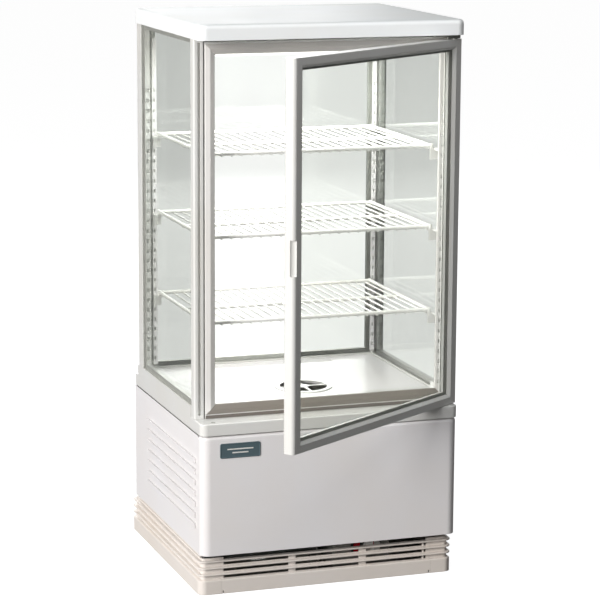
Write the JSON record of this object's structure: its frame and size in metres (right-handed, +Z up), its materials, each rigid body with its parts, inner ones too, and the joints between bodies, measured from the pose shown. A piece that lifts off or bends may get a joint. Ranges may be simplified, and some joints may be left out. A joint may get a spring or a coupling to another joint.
{
  "type": "glass door merchandiser",
  "caption": "White countertop glass door merchandiser with glazing on all sides, wire shelves, a right-hinged door standing ajar, louvred machine housing and a clip-off base grille.",
  "frame": {"origin": "centre of the moulded base's underside, on the counter", "axes": "+X to the hinge side, the right as a user faces the door; +Y to the back; +Z up. The door closes at -Y."},
  "size_m": [0.43, 0.6295, 0.885],
  "materials": {
    "white_plastic": "semi-gloss",
    "base_plastic": "satin",
    "white_steel": "semi-gloss",
    "white_wire": "plastic coated",
    "clear_glass": "clear",
    "spacer_metal": "satin",
    "seal_rubber": "matte",
    "dark_plate": "satin",
    "zinc_steel": "zinc plated",
    "grey_plastic": "matte",
    "black_plastic": "matte",
    "red_plastic": "gloss",
    "black_paint": "satin",
    "coil_metal": "raw",
    "lamp_white": "diffusing",
    "foam": "foam with a white liner"
  },
  "bodies": {
    "cabinet": {"base_plinth": "base_plastic", "rubber_feet": "seal_rubber", "chassis_pan": "zinc_steel", "front_panel": "white_steel", "left_panel": "white_steel", "right_panel": "white_steel", "rear_panel": "white_steel", "badge_plate": "dark_plate", "power_inlet": "black_plastic", "sill_frame": "white_plastic", "latch_side_post": "white_plastic", "hinge_side_post": "white_plastic", "front_frame": "white_plastic", "rear_posts": "white_plastic", "side_outer_glass": "clear_glass", "side_inner_glass": "clear_glass", "rear_glass": "clear_glass", "glass_spacers": "spacer_metal", "top_cover": "white_plastic", "ceiling_panel": "white_plastic", "top_insulation": "foam", "lamp_tube": "lamp_white", "lamp_cover": "lamp_white", "hinge_pins": "zinc_steel", "hinge_brackets": "zinc_steel", "shelf_standards": "white_steel", "shelf_clips": "white_plastic", "insulated_well": "foam", "deck_tray": "white_steel", "fan_guard": "white_plastic", "evaporator_coil": "coil_metal", "evaporator_fan_motor": "black_plastic", "compressor": "black_paint", "compressor_grommets": "seal_rubber", "condenser_coil": "coil_metal", "condenser_fan_shroud": "zinc_steel", "condenser_fan_motor": "black_plastic", "drip_tray": "black_plastic", "control_box": "grey_plastic", "thermostat": "grey_plastic", "switch_housing": "black_plastic", "screws": "zinc_steel"},
    "door": {"door_hinge_stile": "white_plastic", "door_handle_stile": "white_plastic", "door_bottom_rail": "white_plastic", "door_top_rail": "white_plastic", "door_outer_glass": "clear_glass", "door_inner_glass": "clear_glass", "door_spacer": "spacer_metal", "door_glazing_bead": "white_plastic", "door_gasket": "seal_rubber", "hinge_bushes": "white_plastic"},
    "grille": {"front_grille": "base_plastic"},
    "shelf_low": {"wire_shelf_low": "white_wire"},
    "shelf_middle": {"wire_shelf_middle": "white_wire"},
    "shelf_high": {"wire_shelf_high": "white_wire"},
    "evaporator_fan": {"evaporator_fan_blade": "black_plastic"},
    "condenser_fan": {"condenser_fan_blade": "black_plastic"},
    "dial": {"thermostat_knob": "white_plastic"},
    "rocker": {"switch_rocker": "red_plastic"}
  },
  "joints": [
    {"name": "door_swing", "type": "hinge", "parent": "cabinet", "child": "door", "pos_m": [0.203, -0.176, 0.565], "axis": [0, 0, 1], "range_deg": [-34, 76]},
    {"name": "grille_pull", "type": "slide", "parent": "cabinet", "child": "grille", "axis": [0, -1, 0], "range_m": [0, 0.04]},
    {"name": "shelf_low_lift", "type": "slide", "parent": "cabinet", "child": "shelf_low", "axis": [0, 0, 1], "range_m": [0, 0.02]},
    {"name": "shelf_middle_lift", "type": "slide", "parent": "cabinet", "child": "shelf_middle", "axis": [0, 0, 1], "range_m": [0, 0.02]},
    {"name": "shelf_high_lift", "type": "slide", "parent": "cabinet", "child": "shelf_high", "axis": [0, 0, 1], "range_m": [0, 0.02]},
    {"name": "evaporator_fan_spin", "type": "hinge", "parent": "cabinet", "child": "evaporator_fan", "pos_m": [0, -0.06, 0.257], "axis": [0, 0, 1], "continuous": true},
    {"name": "condenser_fan_spin", "type": "hinge", "parent": "cabinet", "child": "condenser_fan", "pos_m": [-0.094, -0.099, 0.086], "axis": [0, -1, 0], "continuous": true},
    {"name": "thermostat_dial", "type": "hinge", "parent": "cabinet", "child": "dial", "pos_m": [0.081, -0.169, 0.049], "axis": [0, -1, 0], "range_deg": [-270, 0]},
    {"name": "power_rocker", "type": "hinge", "parent": "cabinet", "child": "rocker", "pos_m": [0.056, -0.158, 0.049], "axis": [1, 0, 0], "range_deg": [0, 12]}
  ]
}
